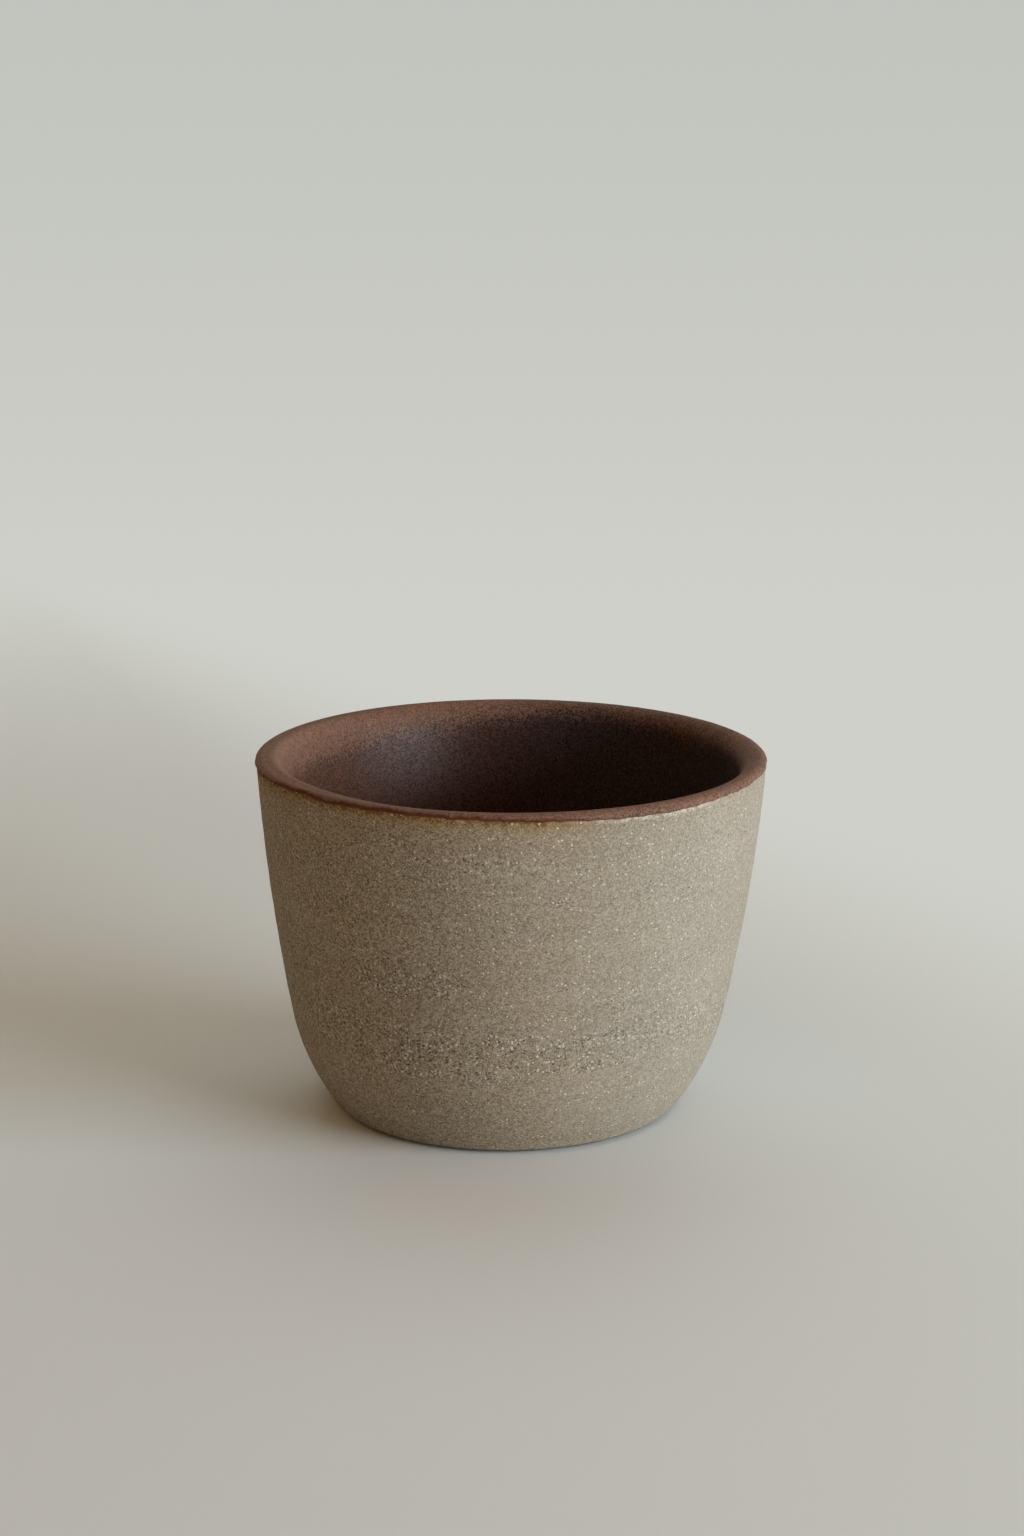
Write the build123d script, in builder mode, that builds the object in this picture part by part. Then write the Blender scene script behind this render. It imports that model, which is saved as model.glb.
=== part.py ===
"""A handleless stoneware cup: a thrown clay body, a glaze lining inside and a coat of glaze over the lip.

Millimetres and degrees, +Z up, the origin on the table at the middle of the foot.
Every piece is round about Z, so each is one half profile, drawn as (radius, height) and revolved.
"""

import os
from math import cos, radians, sin

from build123d import *

# The outside of the clay
cup_height = 65.0  # table to the top of the glazed lip
rim_diameter = 91.5  # across the bare clay where the lip is widest
rim_lean = 4.0  # outward lean of the wall just under the lip
belly_diameter = 79.2  # where the wall turns in towards the foot
belly_height = 18.3
foot_diameter = 61.8  # where the lower curve runs into the table
foot_edge_radius = 3.5  # lifts the edge off the table, with a dark gap under it
foot_ring_width = 8.0  # trimmed ring that the cup stands on, before its edge is rounded
dish_depth = 0.8  # hollow under the floor, inside that ring

# The thickness of the clay
lip_thickness = 4.2
lip_outer_radius = 1.0  # tight outer corner of the lip; the rest of its thickness is rounded towards the inside
belly_wall = 5.0
floor_thickness = 5.2  # at the middle, over the hollow

# The glaze
glaze_thickness = 0.4
rim_wrap = 85.0  # how far the rim coat runs down the outside, round the lip's outer corner from the crown
bead_radius = 0.75 * glaze_thickness  # the coat's lower edge is rounded through most of its thickness

# The lip is two arcs that meet at its crown: the tight outer corner and the rounder inner side
lip_inner_radius = lip_thickness - lip_outer_radius
crown = Vector(rim_diameter / 2 - lip_outer_radius, cup_height - glaze_thickness)
outer_center = crown - Vector(0, lip_outer_radius)
inner_center = crown - Vector(0, lip_inner_radius)
wall_up = Vector(sin(radians(rim_lean)), cos(radians(rim_lean)))
lip_across = Vector(-wall_up.Y, wall_up.X)
lip_outer = outer_center - lip_across * lip_outer_radius
lip_inner = inner_center + lip_across * lip_inner_radius

belly = Vector(belly_diameter / 2, belly_height)
foot = Vector(foot_diameter / 2, 0)
foot_ring_inner = Vector(foot.X - foot_ring_width, 0)
floor_height = dish_depth + floor_thickness


def turned_in(down):
    """The direction square to a wall that runs down, pointing into the cup."""
    return Vector(down.Y, -down.X)


# The outside from the lip to the table: a slightly bowed wall and the rounder curve that it runs into
with BuildLine() as outside:
    outer_wall = TangentArc(lip_outer, belly, tangent=-wall_up)
    TangentArc(belly, foot, tangent=outer_wall % 1)

# The inside follows, thicker at the belly, and its lower curve runs level into the flat floor
belly_inner = belly + turned_in(outer_wall % 1) * belly_wall
with BuildLine() as clay_wall:
    inner_wall = TangentArc(lip_inner, belly_inner, tangent=-wall_up)
belly_down = inner_wall % 1
inner_curve_radius = (belly_inner.Y - floor_height) / (1 + belly_down.X)
floor_edge = Vector(belly_inner.X + turned_in(belly_down).X * inner_curve_radius, floor_height)


def inside_surface(coat):
    """The inside from the lip down to the middle of the floor, with a coat of that thickness on the clay."""
    with BuildLine() as surface:
        wall = TangentArc(
            lip_inner + lip_across * coat,
            belly_inner + turned_in(belly_down) * coat,
            tangent=-wall_up,
        )
        curve = TangentArc(wall @ 1, floor_edge + Vector(0, coat), tangent=belly_down)
        Line(curve @ 1, (0, floor_height + coat))
    return surface.line


def lip_surface(coat):
    """The lip from the rim coat's edge outside over the crown to the lining, with that coat on the clay."""
    with BuildLine() as surface:
        CenterArc(outer_center, lip_outer_radius + coat, 90 - rim_wrap, rim_wrap)
        CenterArc(inner_center, lip_inner_radius + coat, 90, 90 - rim_lean)
    return surface.line


# The clay body, in one piece from the foot to the lip
with BuildPart() as stoneware_body:
    with BuildSketch(Plane.XZ):
        with BuildLine():
            dish = TangentArc((0, dish_depth), foot_ring_inner, tangent=(1, 0))
            Line(foot_ring_inner, foot)
            add(outside.line)
            TangentArc(lip_outer, crown, tangent=wall_up)
            TangentArc(crown, lip_inner, tangent=(-1, 0))
            add(inside_surface(0))
            Line((0, floor_height), dish @ 0)
        make_face()
        foot_edge = vertices().group_by(Axis.Y)[0].sort_by(Axis.X)[-1]
        fillet(foot_edge, radius=foot_edge_radius)
    revolve(axis=Axis.Z)

# The lining that is poured in and out again, fused all over the inside up to the lip
with BuildPart() as glaze_lining:
    with BuildSketch(Plane.XZ):
        with BuildLine():
            add(inside_surface(0))
            add(inside_surface(glaze_thickness))
            Line(lip_inner, lip_inner + lip_across * glaze_thickness)
            Line((0, floor_height), (0, floor_height + glaze_thickness))
        make_face()
    revolve(axis=Axis.Z)

# The coat over the lip, from the lining's edge inside to its own rounded edge outside
with BuildPart() as rim_glaze:
    with BuildSketch(Plane.XZ):
        with BuildLine():
            under = lip_surface(0)
            over = lip_surface(glaze_thickness)
            add(under)
            add(over)
            Line(under @ 0, over @ 0)
            Line(under @ 1, over @ 1)
        make_face()
        fillet(vertices().sort_by(Axis.X)[-1], radius=bead_radius)
    revolve(axis=Axis.Z)

os.makedirs("parts", exist_ok=True)
pieces = {
    "stoneware_body": stoneware_body,
    "glaze_lining": glaze_lining,
    "rim_glaze": rim_glaze,
}
for name, piece in pieces.items():
    piece.part.label = name
    export_step(piece.part, f"parts/{name}.step")
    print(name, round(piece.part.volume), "mm3")
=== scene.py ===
"""The handleless stoneware cup: bare sandy clay outside, dark glaze inside and thinly over the lip."""

import math

import bpy
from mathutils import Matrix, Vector, noise


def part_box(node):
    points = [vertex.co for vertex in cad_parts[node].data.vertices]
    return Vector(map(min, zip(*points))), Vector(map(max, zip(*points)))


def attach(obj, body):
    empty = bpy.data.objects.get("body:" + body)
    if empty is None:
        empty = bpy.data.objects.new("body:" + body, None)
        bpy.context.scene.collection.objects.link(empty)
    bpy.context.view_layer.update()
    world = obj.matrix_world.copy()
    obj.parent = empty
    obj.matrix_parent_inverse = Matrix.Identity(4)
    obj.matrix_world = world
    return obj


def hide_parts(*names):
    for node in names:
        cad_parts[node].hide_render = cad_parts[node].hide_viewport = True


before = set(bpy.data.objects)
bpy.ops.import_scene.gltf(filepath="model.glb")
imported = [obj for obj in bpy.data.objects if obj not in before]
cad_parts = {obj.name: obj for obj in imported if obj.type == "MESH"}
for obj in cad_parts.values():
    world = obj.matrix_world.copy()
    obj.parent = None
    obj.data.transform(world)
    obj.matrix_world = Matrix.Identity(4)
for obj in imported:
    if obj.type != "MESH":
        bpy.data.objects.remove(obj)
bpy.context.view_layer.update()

# Sizes, in metres. The outside ones come from the frame, and the others repeat the solids' own.
MM = 0.001
rim_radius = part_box("stoneware_body")[1].x
cup_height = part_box("rim_glaze")[1].z
glaze_thickness = 0.4 * MM
lip_outer_radius = 1.0 * MM
lip_inner_radius = 3.2 * MM
rim_lean = math.radians(4.0)
rim_wrap = math.radians(85)
belly = Vector((39.6, 18.3)) * MM
belly_wall = 5.0 * MM
foot_radius = 30.9 * MM
foot_edge_radius = 3.5 * MM
foot_ring_width = 8.0 * MM
dish_depth = 0.8 * MM
floor_height = 6.0 * MM

# How finely the pieces are turned
clay_segments = 560
glaze_segments = 400
rim_segments = 720
clay_step = 0.56 * MM
glaze_step = 0.8 * MM
hidden_step = 4.0 * MM
rim_steps = 26
edge_room = 1.2
smooth_angle = math.radians(60)
weld_distance = 0.002 * MM

# What the wheel and the hand left on the clay
patch_drift = 2.0 * MM
foot_askew = -0.9 * MM
pit_depth = 0.2 * MM
ridge_height = 0.05 * MM
sand_height = 0.035 * MM
out_of_round = 0.12 * MM
smooth_lip = 4 * MM
smooth_foot = 2.5 * MM
foot_flat = 0.2 * MM

# How the glaze ran over the lip
coat_bedding = 0.2 * glaze_thickness
full_lip = 0.6 * MM
edge_rounding = 0.5 * MM
crown_thinning = 0.2

# Where the tool tore the clay: degrees round the cup, millimetres up, half width, half height, strength
torn_patches = (
    (-145, 23.5, 28, 4.0, 1.0),
    (-120, 20.5, 26, 5.5, 1.0),
    (-92, 20.5, 26, 5.0, 1.0),
    (-115, 34.0, 16, 4.0, 0.8),
    (-65, 21.5, 28, 4.5, 0.8),
    (-55, 29.5, 20, 3.0, 0.4),
    (-62, 48.5, 28, 2.4, 0.35),
    (-92, 56.5, 28, 1.6, 0.5),
    (-25, 22.0, 26, 4.5, 0.7),
    (25, 20.0, 32, 5.0, 0.8),
    (80, 22.0, 36, 5.0, 0.9),
    (105, 46.0, 30, 2.4, 0.4),
    (140, 20.5, 36, 5.0, 0.85),
    (175, 24.0, 26, 4.0, 0.8),
)

# The waves along the rim coat's edge: scale, seed, millimetres
coat_waves = ((1.3, 7.3, 0.2), (5.0, 2.1, 0.3), (19.0, 4.4, 0.22), (48.0, 8.7, 0.15))

# Where the rim coat runs further down the outside, or stops short: degrees round, half width, millimetres
coat_runs = ((-112, 26, -0.45), (-142, 22, -0.5), (-60, 28, 0.6), (-4, 30, -0.15))


# Half outlines, as (radius, height)

def turned(vector, angle):
    """A half-plane vector turned anticlockwise."""
    across = Vector((-vector.y, vector.x))
    return vector * math.cos(angle) + across * math.sin(angle)


def along_arc(start, end, heading, step):
    """Points after start on the arc that leaves it along heading and ends at end, and the heading there."""
    chord = end - start
    side = Vector((-heading.y, heading.x))
    reach = chord.length_squared / (2 * chord.dot(side))
    centre = start + side * reach
    turn = 2 * math.atan2(chord.dot(side), chord.dot(heading))
    count = max(2, math.ceil(abs(turn * reach) / step))
    points = [centre + turned(start - centre, turn * index / count) for index in range(1, count + 1)]
    return points, turned(heading, turn)


def along_line(start, end, step):
    """Points after start on the straight line to end."""
    count = max(1, math.ceil((end - start).length / step))
    return [start.lerp(end, index / count) for index in range(1, count + 1)]


wall_up = Vector((math.sin(rim_lean), math.cos(rim_lean)))
lip_across = Vector((-wall_up.y, wall_up.x))
crown = Vector((rim_radius - lip_outer_radius, cup_height - glaze_thickness))
outer_centre = crown - Vector((0, lip_outer_radius))
inner_centre = crown - Vector((0, lip_inner_radius))
lip_outer = outer_centre - lip_across * lip_outer_radius
lip_inner = inner_centre + lip_across * lip_inner_radius
coat_start = -(math.pi / 2 - rim_lean) * lip_inner_radius
coat_end = rim_wrap * lip_outer_radius
foot = Vector((foot_radius, 0.0))
belly_heading = along_arc(lip_outer, belly, -wall_up, clay_step)[1]
belly_inner = belly + Vector((belly_heading.y, -belly_heading.x)) * belly_wall
inner_heading = along_arc(lip_inner, belly_inner, -wall_up, clay_step)[1]
inner_across = Vector((inner_heading.y, -inner_heading.x))
inner_curve_radius = (belly_inner.y - floor_height) / (1 + inner_heading.x)
floor_edge = Vector((belly_inner.x + inner_across.x * inner_curve_radius, floor_height))


def inside_outline(coat, step):
    """The inside from the lip to the middle of the floor, with a coat of that thickness on the clay."""
    start = lip_inner + lip_across * coat
    wall, heading = along_arc(start, belly_inner + inner_across * coat, -wall_up, step)
    curve = along_arc(wall[-1], floor_edge + Vector((0, coat)), heading, step)[0]
    floor = along_line(curve[-1], Vector((0, floor_height + coat)), step)
    return [start] + wall + curve + floor


def clay_outline():
    """The clay, from the hollow underneath round the outside and the lip to the middle of the floor."""
    ring_inner = Vector((foot_radius - foot_ring_width, 0))
    hollow_top = Vector((0, dish_depth))
    hollow = along_arc(hollow_top, ring_inner, Vector((1, 0)), 4 * clay_step)[0]
    curve, foot_heading = along_arc(belly, foot, belly_heading, clay_step)
    trim = foot_edge_radius * math.tan(math.acos(-foot_heading.x) / 2)
    ring = along_line(ring_inner, foot - Vector((trim, 0)), 2 * clay_step)
    above_edge = [point for point in reversed(curve) if (point - foot).length > edge_room * trim]
    edge_end = foot - foot_heading * trim
    edge = along_arc(ring[-1], edge_end, Vector((1, 0)), clay_step)[0]
    wall = along_arc(belly, lip_outer, -belly_heading, clay_step)[0]
    lip = along_arc(lip_outer, crown, wall_up, 0.5 * clay_step)[0]
    lip += along_arc(crown, lip_inner, Vector((-1, 0)), clay_step)[0]
    inside = inside_outline(0, hidden_step)
    return [hollow_top] + hollow + ring + edge + above_edge + [belly] + wall + lip + inside[1:]


def lining_outline():
    """The lining from the middle of its surface up to the lip and back down against the clay."""
    return inside_outline(glaze_thickness, glaze_step)[::-1] + inside_outline(0, hidden_step)


def lip_arc(outside):
    """The middle and the radius of the lip's outer corner, or of its inner side."""
    if outside:
        return outer_centre, lip_outer_radius
    return inner_centre, lip_inner_radius


def on_lip(reach, lift):
    """The point that far out from the crown along the clay, inwards if negative, and that far off it."""
    centre, radius = lip_arc(reach > 0)
    angle = math.pi / 2 - reach / radius
    if angle < -rim_lean:
        below = (-rim_lean - angle) * radius
        return lip_outer - wall_up * below - lip_across * lift
    return centre + Vector((math.cos(angle), math.sin(angle))) * (radius + lift)


def rim_outline():
    """The rim coat's outline: over the lip from the lining to the outside, and back along the clay."""
    reaches = [coat_start + (coat_end - coat_start) * index / rim_steps for index in range(rim_steps + 1)]
    over = [on_lip(reach, glaze_thickness) for reach in reaches]
    under = [on_lip(reach, -coat_bedding) for reach in reversed(reaches)]
    return over + under + over[:1]


# Modelling

def draw_outline(name, outline):
    """Shrinks a plane to a point and draws it out along a half outline."""
    bpy.ops.object.select_all(action="DESELECT")
    bpy.ops.mesh.primitive_plane_add(size=MM, location=(0, 0, 0))
    piece = bpy.context.object
    piece.name = name
    piece.data.name = name
    bpy.ops.object.mode_set(mode="EDIT")
    bpy.ops.mesh.select_all(action="SELECT")
    bpy.ops.mesh.merge(type="CENTER")
    bpy.ops.transform.translate(value=(outline[0].x, 0, outline[0].y))
    for before, after in zip(outline, outline[1:]):
        move = (after.x - before.x, 0, after.y - before.y)
        bpy.ops.mesh.extrude_region_move(TRANSFORM_OT_translate={"value": move})
    bpy.ops.object.mode_set(mode="OBJECT")
    return piece


def throw_on_wheel(name, outline, segments):
    """Turns a half outline about the cup's axis into a closed piece."""
    piece = draw_outline(name, outline)
    wheel = piece.modifiers.new("wheel", "SCREW")
    wheel.axis = "Z"
    wheel.angle = math.tau
    wheel.steps = segments
    wheel.render_steps = segments
    bpy.ops.object.modifier_apply(modifier="wheel")
    bpy.ops.object.mode_set(mode="EDIT")
    bpy.ops.mesh.select_all(action="SELECT")
    bpy.ops.mesh.remove_doubles(threshold=weld_distance)
    bpy.ops.mesh.normals_make_consistent(inside=False)
    bpy.ops.object.mode_set(mode="OBJECT")
    bpy.ops.object.shade_smooth_by_angle(angle=smooth_angle)
    return piece


def fit_out(piece, node):
    """Sets a finished piece as askew as the whole cup, and lets it stand for its solid."""
    for vertex in piece.data.vertices:
        vertex.co.x += foot_askew * (1 - vertex.co.z / cup_height) ** 2
    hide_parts(node)
    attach(piece, "root")


def keep_measure(piece, name, values):
    """Stores a number for each vertex, for the piece's finish to read."""
    measure = piece.data.attributes.new(name, "FLOAT", "POINT")
    measure.data.foreach_set("value", values)


def ramp(value, low, high):
    """0 below low, 1 above high and smooth between them."""
    share = min(1.0, max(0.0, (value - low) / (high - low)))
    return share * share * (3 - 2 * share)


def streaks(point, round_scale, height_scale, seed):
    """Noise from -1 to 1 that is drawn out round the cup, as by a tool held to the turning clay."""
    drawn_out = Vector((point.x * round_scale, point.y * round_scale, point.z * height_scale + seed))
    return noise.noise(drawn_out)


def glaze_reach(angle):
    """How far the rim coat runs out and down from the crown of the lip, at that angle round the cup."""
    place = Vector((math.cos(angle), math.sin(angle), 0))
    waves = 0.0
    for scale, seed, height in coat_waves:
        waves += height * noise.noise(place * scale + Vector((0, 0, seed)))
    for middle_angle, half, further in coat_runs:
        aside = math.remainder(angle - math.radians(middle_angle), math.tau)
        waves += further * (1 - ramp(abs(aside), 0, math.radians(half)))
    return coat_end + waves * MM


def roughness_at(point):
    """How coarse the clay is there, from 0, smoothed, to 1, torn by the tool."""
    height = (point.z + streaks(point, 60, 60, 5.0) * patch_drift) / MM
    angle = math.atan2(point.y, point.x)
    torn = 0.0
    for middle_angle, middle_height, half_width, half_height, strength in torn_patches:
        aside = math.remainder(angle - math.radians(middle_angle), math.tau) / math.radians(half_width)
        above = (height - middle_height) / half_height
        torn = max(torn, strength * (1 - ramp(math.hypot(aside, above), 0.5, 1.25)))
    broken = 1.0 + 0.9 * streaks(point, 110, 240, 3.5)
    return min(1.0, torn * max(0.0, broken))


def pits_at(point, rough):
    """How deep the clay is pitted there, from 0 to about 1: torn in the patches, and scattered elsewhere."""
    torn = max(0.0, streaks(point, 620, 1000, 1.0) - 0.2)
    scattered = max(0.0, streaks(point, 620, 800, 9.0) - 0.6)
    return 2.5 * torn * rough + 2.0 * scattered


def clay_relief(point, rough):
    """How far the clay's surface stands out at a point, pits apart."""
    wobble = out_of_round * noise.noise(point * 22)
    rings = ridge_height * streaks(point, 9, 420, 3.0)
    sand = sand_height * (0.5 + 3.0 * rough) * noise.noise(point * 900)
    return wobble + rings + sand


def finish_clay(piece):
    """Gives the thrown clay its irregular surface, and measures it for its finish."""
    vertices = piece.data.vertices
    normals = [vertex.normal.copy() for vertex in vertices]
    below_glaze = []
    roughness = []
    for vertex, normal in zip(vertices, normals):
        point = vertex.co.copy()
        edge = on_lip(glaze_reach(math.atan2(point.y, point.x)), 0)
        rough = roughness_at(point)
        if normal.x * point.x + normal.y * point.y > 0:
            fade = 1 - ramp(point.z, lip_outer.y - smooth_lip, lip_outer.y)
            grounded = ramp(point.z, foot_flat, smooth_foot)
            lift = clay_relief(point, rough) - pit_depth * pits_at(point, rough)
            vertex.co = point + normal * lift * fade * grounded
        below_glaze.append(edge.y - point.z)
        roughness.append(rough)
    keep_measure(piece, "below_glaze", below_glaze)
    keep_measure(piece, "rough", roughness)


def finish_rim(piece):
    """Ends the coat over the lip in a wavy, rounded edge outside, a little thicker than on the crown."""
    to_edge = []
    for vertex in piece.data.vertices:
        point = vertex.co
        angle = math.atan2(point.y, point.x)
        section = Vector((math.hypot(point.x, point.y), point.z))
        centre, radius = lip_arc(section.x > crown.x)
        from_centre = section - centre
        reach = (math.pi / 2 - math.atan2(from_centre.y, from_centre.x)) * radius
        lift = from_centre.length - radius
        furthest = glaze_reach(angle)
        slide = ramp(reach, -0.5 * coat_end, coat_end)
        reach += slide * (furthest - coat_end)
        left = max(0.0, furthest - reach)
        to_edge.append(left)
        if lift > 0:
            rounded = math.sqrt(min(1.0, left / edge_rounding))
            thinned = 1 - crown_thinning * ramp(reach, -1.5 * MM, 0.3 * MM) * ramp(left, 0.3 * MM, 1.3 * MM)
            lift *= rounded * thinned
            swell = ramp(-math.cos(angle), 0.3, 0.95) * ramp(-reach, 0.3 * MM, 2.2 * MM)
            lift += full_lip * swell * ramp(reach, coat_start, coat_start + 2.0 * MM)
        place = on_lip(reach, lift)
        vertex.co = (place.x * math.cos(angle), place.x * math.sin(angle), place.y)
    keep_measure(piece, "to_edge", to_edge)


body = throw_on_wheel("cup_body", clay_outline(), clay_segments)
finish_clay(body)
fit_out(body, "stoneware_body")

lining = throw_on_wheel("cup_lining", lining_outline(), glaze_segments)
fit_out(lining, "glaze_lining")

rim = throw_on_wheel("cup_rim_coat", rim_outline(), rim_segments)
finish_rim(rim)
fit_out(rim, "rim_glaze")


# Finishes

def tone(red, green, blue):
    """A colour given as 0 to 255 on screen, as the shader's own."""
    linear = [((c / 255 + 0.055) / 1.055) ** 2.4 if c > 10 else c / 255 / 12.92 for c in (red, green, blue)]
    return (*linear, 1.0)


class Wire:
    """A socket of a node tree: maths on it adds Math nodes, and node() adds any other."""

    def __init__(self, tree, socket=None):
        self.tree = tree
        self.socket = socket

    def node(self, kind, settings, sockets, result=0):
        """Adds a node with its settings and its sockets' values or wires, and gives one of its results."""
        made = self.tree.nodes.new(kind)
        for name, value in settings.items():
            setattr(made, name, value)
        for name, value in sockets.items():
            if isinstance(value, Wire):
                self.tree.links.new(value.socket, made.inputs[name])
            else:
                made.inputs[name].default_value = value
        return Wire(self.tree, made.outputs[result])

    def also(self, result):
        """Another result of the node that this one comes from."""
        return Wire(self.tree, self.socket.node.outputs[result])

    def axis(self, name):
        """One coordinate of this place."""
        return self.node("ShaderNodeSeparateXYZ", {}, {0: self}, name)

    def maths(self, operation, *values):
        """A Math node on these numbers or wires."""
        return self.node("ShaderNodeMath", {"operation": operation}, dict(enumerate(values)))

    def __add__(self, other):
        return self.maths("ADD", self, other)

    def __radd__(self, other):
        return self.maths("ADD", other, self)

    def __sub__(self, other):
        return self.maths("SUBTRACT", self, other)

    def __rsub__(self, other):
        return self.maths("SUBTRACT", other, self)

    def __mul__(self, other):
        return self.maths("MULTIPLY", self, other)

    def __rmul__(self, other):
        return self.maths("MULTIPLY", other, self)

    def larger(self, other):
        """The larger of this and another."""
        return self.maths("MAXIMUM", self, other)

    def between(self, low, high):
        """0 below low, 1 above high and smooth between them."""
        settings = {"interpolation_type": "SMOOTHSTEP"}
        return self.node("ShaderNodeMapRange", settings, {"Value": self, "From Min": low, "From Max": high})

    def pick(self, first, second):
        """The first colour where this is 0, and the second where it is 1."""
        settings = {"data_type": "RGBA", "clamp_factor": True}
        return self.node("ShaderNodeMix", settings, {0: self, 6: first, 7: second}, 2)

    def brighten(self, amount):
        """This colour times a number."""
        settings = {"operation": "SCALE"}
        return self.node("ShaderNodeVectorMath", settings, {0: self, "Scale": amount})

    def stretched(self, x, y, z):
        """This place, with each axis scaled."""
        return self.node("ShaderNodeVectorMath", {"operation": "MULTIPLY"}, {0: self, 1: (x, y, z)})

    def grain(self, scale, detail=2.0):
        """Noise from 0 to 1 at this place."""
        sockets = {"Vector": self, "Scale": scale, "Detail": detail}
        return self.node("ShaderNodeTexNoise", {}, sockets)

    def cells(self, scale):
        """A random number from 0 to 1 for each grain at this place."""
        cell = self.node("ShaderNodeTexVoronoi", {}, {"Vector": self, "Scale": scale}, "Color")
        return self.node("ShaderNodeSeparateColor", {}, {"Color": cell})

    def crumbs(self, scale, share, low, high):
        """Round marks scattered at this place, in that share of the cells."""
        cell = self.node("ShaderNodeTexVoronoi", {}, {"Vector": self, "Scale": scale})
        chance = self.node("ShaderNodeSeparateColor", {}, {"Color": cell.also("Color")})
        held = chance.maths("LESS_THAN", chance, share)
        return (1 - cell.between(low, high)) * held


def new_finish(name):
    """A new material, its shader, and the place on the piece that its finish is worked out from."""
    material = bpy.data.materials.new(name)
    material.use_nodes = True
    tree = material.node_tree
    shader = tree.nodes["Principled BSDF"]
    place = Wire(tree).node("ShaderNodeTexCoord", {}, {}, "Object")
    return material, shader, place


def feed(shader, name, wire):
    """Links a wire to the shader."""
    wire.tree.links.new(wire.socket, shader.inputs[name])


def measure(place, name):
    """A number that the piece keeps for each vertex."""
    return place.node("ShaderNodeAttribute", {"attribute_name": name}, {}, "Fac")


def relief(place, height, depth, strength):
    """Fine relief of that depth for the shader's normal."""
    return place.node("ShaderNodeBump", {}, {"Height": height, "Distance": depth, "Strength": strength})


def bare_clay():
    """Sandy stoneware: salt and pepper grains, pale grog, pits painted in shade, and an ochre flush below
    the glaze. Painted light and shade also make it warmer and more grainy on the shaded left, brighter on
    the lit right, partly highlighted under the glaze edge on the right, and darker where the foot meets the
    table.
    """
    material, shader, place = new_finish("bare_stoneware")
    rough = measure(place, "rough")
    below = measure(place, "below_glaze") * (1 / MM)
    right = place.axis("X") * (1 / MM)
    up = place.axis("Z") * (1 / MM)
    rows = place.stretched(70, 70, 650).grain(1.0, 2.0)
    torn = rough * (0.6 + 0.7 * rows.between(0.42, 0.62))
    # Grain contrast: stronger in the torn patches, and stronger on the shaded left as painted shade of the
    # surface's relief under the grazing light.
    coarse = 0.52 + 0.53 * (1 - right.between(-28.0, 22.0)) + 0.25 * torn
    bands = place.stretched(14, 14, 380).grain(1.0, 3.0)
    clouds = place.grain(55.0, 3.0)
    patches = place.stretched(1.0, 1.0, 1.8).grain(95.0, 4.0)
    fine_sand = place.cells(5400.0)
    sand = place.cells(3500.0)
    crumbs = place.cells(2400.0)
    grog = place.crumbs(1300.0, 0.24, 0.16, 0.26)
    fine_grog = place.crumbs(2100.0, 0.24, 0.15, 0.35)
    loose = torn.between(0.05, 0.7) * (1 - 0.4 * right.between(0.0, 28.0))
    torn_grog = place.crumbs(1150.0, 0.55, 0.22, 0.36) * loose
    pits = place.stretched(1.0, 1.0, 1.7).crumbs(1000.0, 0.38, 0.2, 0.32) * torn.between(0.1, 0.6)
    specks = place.stretched(1.0, 1.0, 1.5).crumbs(640.0, 0.04, 0.08, 0.2)
    salt = 0.5 + ((fine_sand - 0.5) * 0.6 + (sand - 0.5) * 0.6) * coarse
    # Brightness: turning bands and random clouds, plus painted light that brightens the lit right side.
    light = 1 + (bands - 0.5) * 0.22 + (clouds - 0.5) * 0.16 + right.between(18.0, 44.0) * 0.08
    paler = right.between(4.0, 20.0)
    strong_flush = 1 - (below + (clouds - 0.5) * 3.0).between(0.3, 2.8)
    faint_flush = 1 - below.between(2.0, 10.0)
    flush = (strong_flush * 0.75 + faint_flush * 0.2) * (1 - 0.8 * paler)
    rust = (1 - (below - crumbs.between(0.35, 0.9) * 0.8).between(0.0, 0.25)) * (0.8 - 0.7 * paler)
    # Pale crumbs just under the glaze edge, on the lit right only: partly a crust of chalk, partly painted
    # highlight where the edge catches the light.
    chalk_and_highlight_reach = (1 - below.between(0.3, 1.0)) * paler * (1 - right.between(30.0, 38.0))
    chalk_and_painted_highlight = crumbs.between(0.4, 0.6) * chalk_and_highlight_reach
    # Painted shade: on the shaded left the pale grains turn warmer, in patches, for the warm room light
    # there.
    patchy_painted_warm_shade = (0.7 + 0.4 * patches.between(0.36, 0.68)) * (1 - right.between(-2.0, 34.0))
    colour = salt.pick(tone(98, 83, 63), patchy_painted_warm_shade.pick(tone(181, 172, 156), tone(181, 166, 144)))
    colour = flush.pick(colour, salt.pick(tone(104, 80, 46), tone(164, 140, 98)))
    colour = rust.pick(colour, tone(112, 70, 40)).brighten(light)
    pale = (grog * 0.95).larger(fine_grog * 0.5).larger(torn_grog * 0.78).larger(chalk_and_painted_highlight * 0.55)
    colour = pale.pick(colour, tone(206, 198, 180))
    # Pits and scattered holes are painted near black: painted shade in the hollows, lighter towards the lit
    # right; the relief below sinks them too.
    painted_pit_shade = (pits * (0.8 - 0.35 * right.between(-8.0, 26.0))).larger(specks * 0.75)
    colour = painted_pit_shade.pick(colour, tone(66, 48, 32))
    # Painted shade: the clay turns darker over the last millimetre above the table, where the foot meets it.
    painted_contact_shade = 1 - up.between(0.1, 1.3)
    colour = (painted_contact_shade * 0.85).pick(colour, tone(66, 56, 44))
    feed(shader, "Base Color", colour)
    shader.inputs["Roughness"].default_value = 0.9
    shader.inputs["Specular IOR Level"].default_value = 0.12
    height = (grog * 0.5 + sand * 0.3 + fine_sand * 0.2) * (0.5 + rough) + torn_grog - painted_pit_shade
    feed(shader, "Normal", relief(place, height, depth=0.14 * MM, strength=0.8))
    return material


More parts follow.
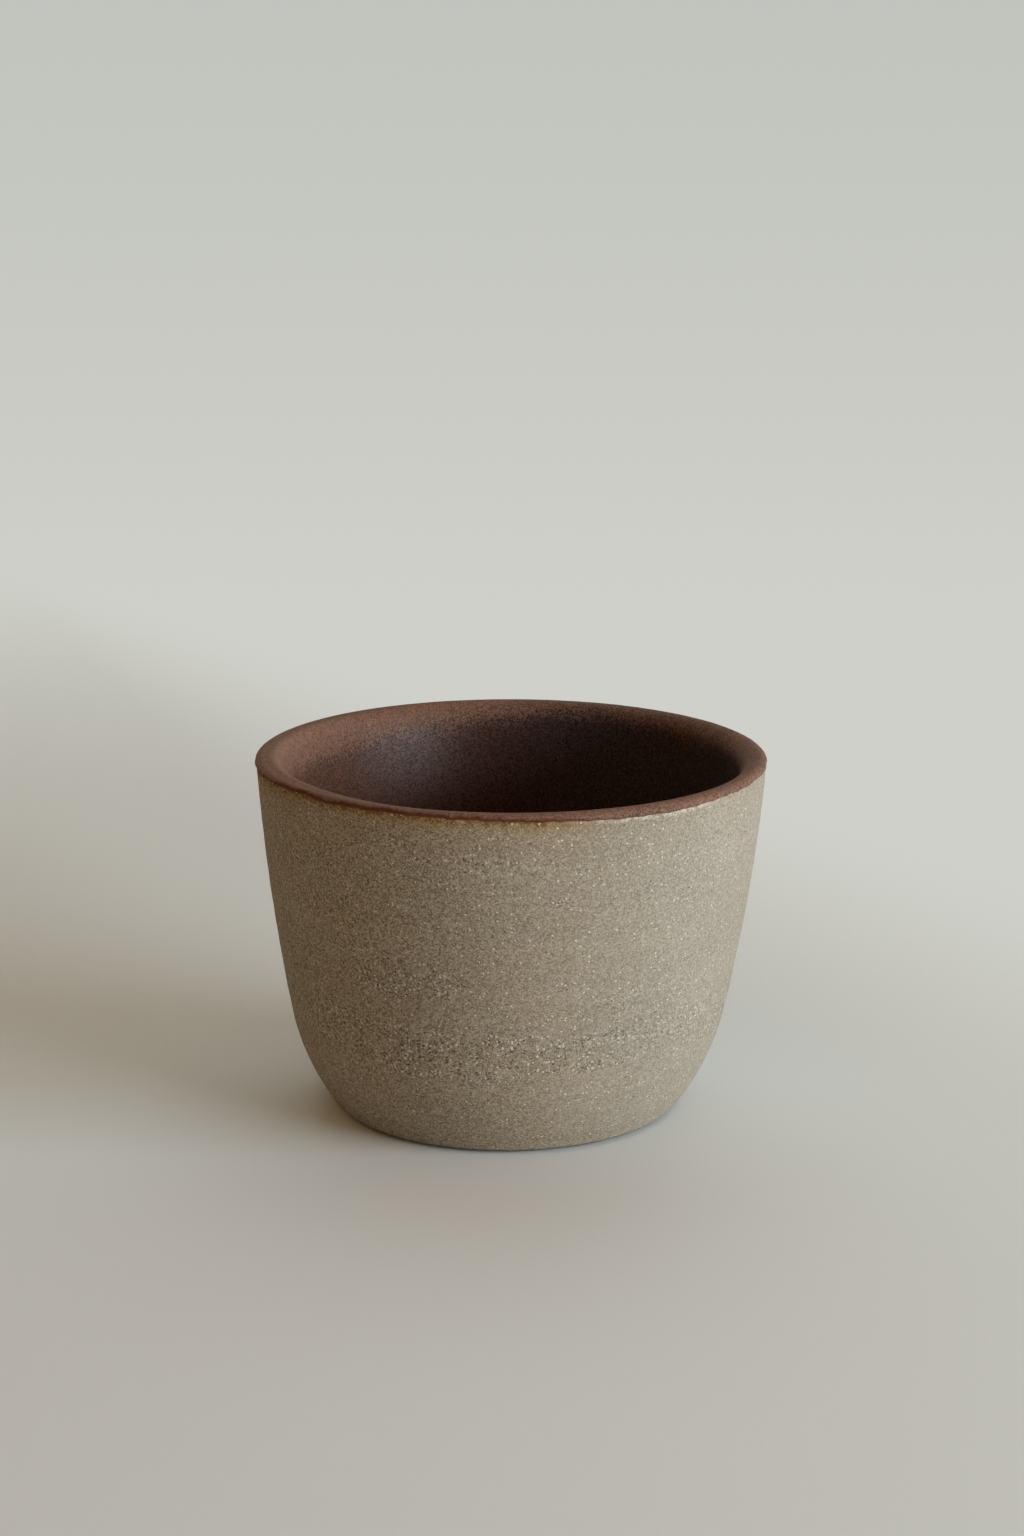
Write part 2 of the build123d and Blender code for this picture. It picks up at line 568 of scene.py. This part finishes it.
def fired_glaze(name, sheen, with_edge):
    """Satin glaze, near black, that breaks to red-brown where it is thin, at the lip. Painted light and
    shade also tint it: warmer and paler on the lit left inside wall, brighter at the lip's far sides, and
    its thick tone higher up the lip at the back, where the inner side is in shade.
    """
    material, shader, place = new_finish(name)
    height = place.axis("Z") * (1 / MM)
    right = place.axis("X") * (1 / MM)
    back = place.axis("Y") * (1 / MM)
    aside = right.maths("ABSOLUTE", right)
    clouds = place.grain(140.0, 3.0)
    speckle = place.grain(1500.0, 2.0)
    mottle = place.cells(2900.0)
    dust = place.cells(5000.0)
    # Painted shade: the thick tone reaches further up the lip at the back, whose inner side is in shade.
    painted_back_shade = back.between(15.0, 42.0) * right.between(-18.0, 12.0) * 1.6
    thinned = aside * 0.03 - right * 0.06 - painted_back_shade
    uneven = (clouds - 0.5) * 4.0 + (mottle - 0.5) * 1.6 + (dust - 0.5) * 2.2
    thin = (height + thinned + uneven).between(59.2, 64.4)
    # Painted light: the paler red-brown also spreads over the lit left inside wall.
    thin = thin.larger((0 - right).between(14.0, 38.0) * 0.28)
    grain = (speckle * 0.4 + dust * 0.6).between(0.15, 0.85)
    # Painted light and shade: the thick glaze is warmer and paler on the left, where the window lights the
    # inside wall, and greyer on the shaded right.
    painted_lit_wall_tint = 1 - right.between(-22.0, 20.0)
    thick_dark = painted_lit_wall_tint.pick(tone(31, 26, 28), tone(43, 25, 17))
    thick_pale = painted_lit_wall_tint.pick(tone(80, 65, 67), tone(100, 63, 46))
    thick = grain.pick(thick_dark, thick_pale)
    # Painted light: the broken red-brown is brighter at both far sides of the lip, where it is seen edge-on
    # and catches the light.
    painted_light_at_sides = 1 + aside.between(30.0, 46.0) * 0.22
    broken = grain.pick(tone(98, 68, 53), tone(138, 103, 84)).brighten(painted_light_at_sides)
    colour = thin.pick(thick, broken)
    if with_edge:
        to_edge = measure(place, "to_edge") * (1 / MM)
        # The line along the coat's edge is partly the glaze's own thicker bead and partly painted shade
        # beneath it, so it fades on the lit right.
        line = 1 - (to_edge + (speckle - 0.5) * 0.4).between(0.25, 0.55)
        colour = (line * (0.85 - 0.7 * right.between(4.0, 20.0))).pick(colour, tone(82, 38, 19))
    feed(shader, "Base Color", colour)
    rubbed = right.between(-38.0, -22.0) * (1 - right.between(-14.0, -4.0))
    satin = height.between(42.0, 57.0) * (1 - thin * 0.8) * (0.3 + dust * 0.9) * (0.4 + rubbed)
    feed(shader, "Coat Weight", satin * sheen)
    shader.inputs["Coat Roughness"].default_value = 0.36
    shader.inputs["Roughness"].default_value = 0.65
    shader.inputs["Specular IOR Level"].default_value = 0.15
    feed(shader, "Normal", relief(place, speckle + clouds, depth=0.08 * MM, strength=0.35))
    return material


body.data.materials.append(bare_clay())
lining.data.materials.append(fired_glaze("dark_lining_glaze", sheen=0.68, with_edge=False))
rim.data.materials.append(fired_glaze("thin_rim_glaze", sheen=0.1, with_edge=True))


# Stage, lights and camera
floor_size = 4.0
floor_middle = -1.3
sweep_radius = 0.5
sweep_steps = 24
wall_height = 1.6


def pale_paper():
    """Pale paper that takes the cup's shadow near it; further back, and sooner on the lit right, the camera
    sees a glowing tone instead, painted light that takes no shadow and is a little darker higher up.
    """
    material, shader, place = new_finish("pale_paper")
    shader.inputs["Base Color"].default_value = tone(236, 241, 241)
    shader.inputs["Roughness"].default_value = 0.9
    shader.inputs["Specular IOR Level"].default_value = 0.1
    right = place.axis("X")
    back = place.axis("Y")
    up = place.axis("Z")
    path = place.node("ShaderNodeLightPath", {}, {}, "Is Camera Ray")
    seen = path.larger(path.also("Is Glossy Ray")).larger(path.also("Is Transmission Ray"))
    low = place.node("ShaderNodeEmission", {}, {"Color": tone(207, 208, 201), "Strength": 1.0})
    high = place.node("ShaderNodeEmission", {}, {"Color": tone(190, 192, 187), "Strength": 1.0})
    backdrop = place.node("ShaderNodeMixShader", {}, {0: (back + up).between(0.4, 1.7), 1: low, 2: high})
    near = Wire(path.tree, shader.outputs[0])
    # Painted light: the glowing tone comes nearer the cup on the lit right side, and there takes no shadow.
    lit = (back + right * 1.4).between(0.08, 0.32).larger(back.between(0.15, 0.6))
    mixed = place.node("ShaderNodeMixShader", {}, {0: lit * seen, 1: near, 2: backdrop})
    path.tree.links.new(mixed.socket, path.tree.nodes["Material Output"].inputs["Surface"])
    return material


def add_sweep():
    """A sheet of pale paper: a floor that curves up into a wall well behind the cup."""
    bpy.ops.object.select_all(action="DESELECT")
    bpy.ops.mesh.primitive_plane_add(size=floor_size, location=(0, floor_middle, 0))
    sweep = bpy.context.object
    sweep.name = "paper_sweep"
    bpy.ops.object.transform_apply(location=True)
    bpy.ops.object.mode_set(mode="EDIT")
    bpy.ops.mesh.select_mode(type="EDGE")
    bpy.ops.mesh.select_all(action="DESELECT")
    bpy.ops.object.mode_set(mode="OBJECT")
    for edge in sweep.data.edges:
        ends = [sweep.data.vertices[index].co.y for index in edge.vertices]
        edge.select = min(ends) > 0
    bpy.ops.object.mode_set(mode="EDIT")
    for index in range(sweep_steps):
        first = math.pi / 2 * index / sweep_steps
        second = math.pi / 2 * (index + 1) / sweep_steps
        further_back = sweep_radius * (math.sin(second) - math.sin(first))
        further_up = sweep_radius * (math.cos(first) - math.cos(second))
        bpy.ops.mesh.extrude_region_move(TRANSFORM_OT_translate={"value": (0, further_back, further_up)})
    bpy.ops.mesh.extrude_region_move(TRANSFORM_OT_translate={"value": (0, 0, wall_height)})
    bpy.ops.object.mode_set(mode="OBJECT")
    bpy.ops.object.shade_smooth()
    sweep.data.materials.append(pale_paper())


def add_light(name, azimuth, elevation, distance, width, height, power, colour):
    """A soft rectangular light that faces the cup, from that side of the camera's direction."""
    away = Vector((
        math.sin(math.radians(azimuth)) * math.cos(math.radians(elevation)),
        -math.cos(math.radians(azimuth)) * math.cos(math.radians(elevation)),
        math.sin(math.radians(elevation)),
    ))
    lamp = bpy.data.lights.new(name, "AREA")
    lamp.shape = "RECTANGLE"
    lamp.size = width
    lamp.size_y = height
    lamp.energy = power
    lamp.color = colour
    light = bpy.data.objects.new(name, lamp)
    light.location = away * distance + Vector((0, 0, cup_height / 2))
    light.rotation_euler = away.to_track_quat("Z", "Y").to_euler()
    light.visible_camera = False
    bpy.context.scene.collection.objects.link(light)


def add_room(strength, colour):
    """Even light from all round."""
    world = bpy.data.worlds.new("room")
    world.use_nodes = True
    sky = world.node_tree.nodes["Background"]
    sky.inputs["Color"].default_value = (*colour, 1)
    sky.inputs["Strength"].default_value = strength
    bpy.context.scene.world = world


def add_camera():
    """The camera, at the height and distance that the cup's ellipses give for a 70 mm lens."""
    lens = bpy.data.cameras.new("camera")
    lens.lens = 70
    lens.sensor_width = 36
    pitch = math.radians(13.41)
    aim_below = math.radians(0.125)
    roll = math.radians(-0.11)
    aside = -0.09 * MM
    distance = 538.2 * MM
    rim_middle = cup_height - 1.84 * MM
    camera = bpy.data.objects.new("camera", lens)
    camera.location = (aside, -distance * math.cos(pitch), rim_middle + distance * math.sin(pitch))
    camera.rotation_euler = (math.pi / 2 - pitch - aim_below, roll, 0)
    bpy.context.scene.collection.objects.link(camera)
    bpy.context.scene.camera = camera


add_sweep()
add_light(
    "window", azimuth=63, elevation=9.5, distance=1.2, width=0.9, height=0.44,
    power=19.0, colour=(0.79, 0.9, 1.0),
)
add_light(
    "skylight", azimuth=180, elevation=60, distance=1.2, width=1.0, height=1.0,
    power=2.3, colour=(0.82, 0.97, 1.0),
)
add_room(strength=0.28, colour=(1.0, 0.64, 0.33))
add_camera()
bpy.context.scene.view_settings.view_transform = "Standard"
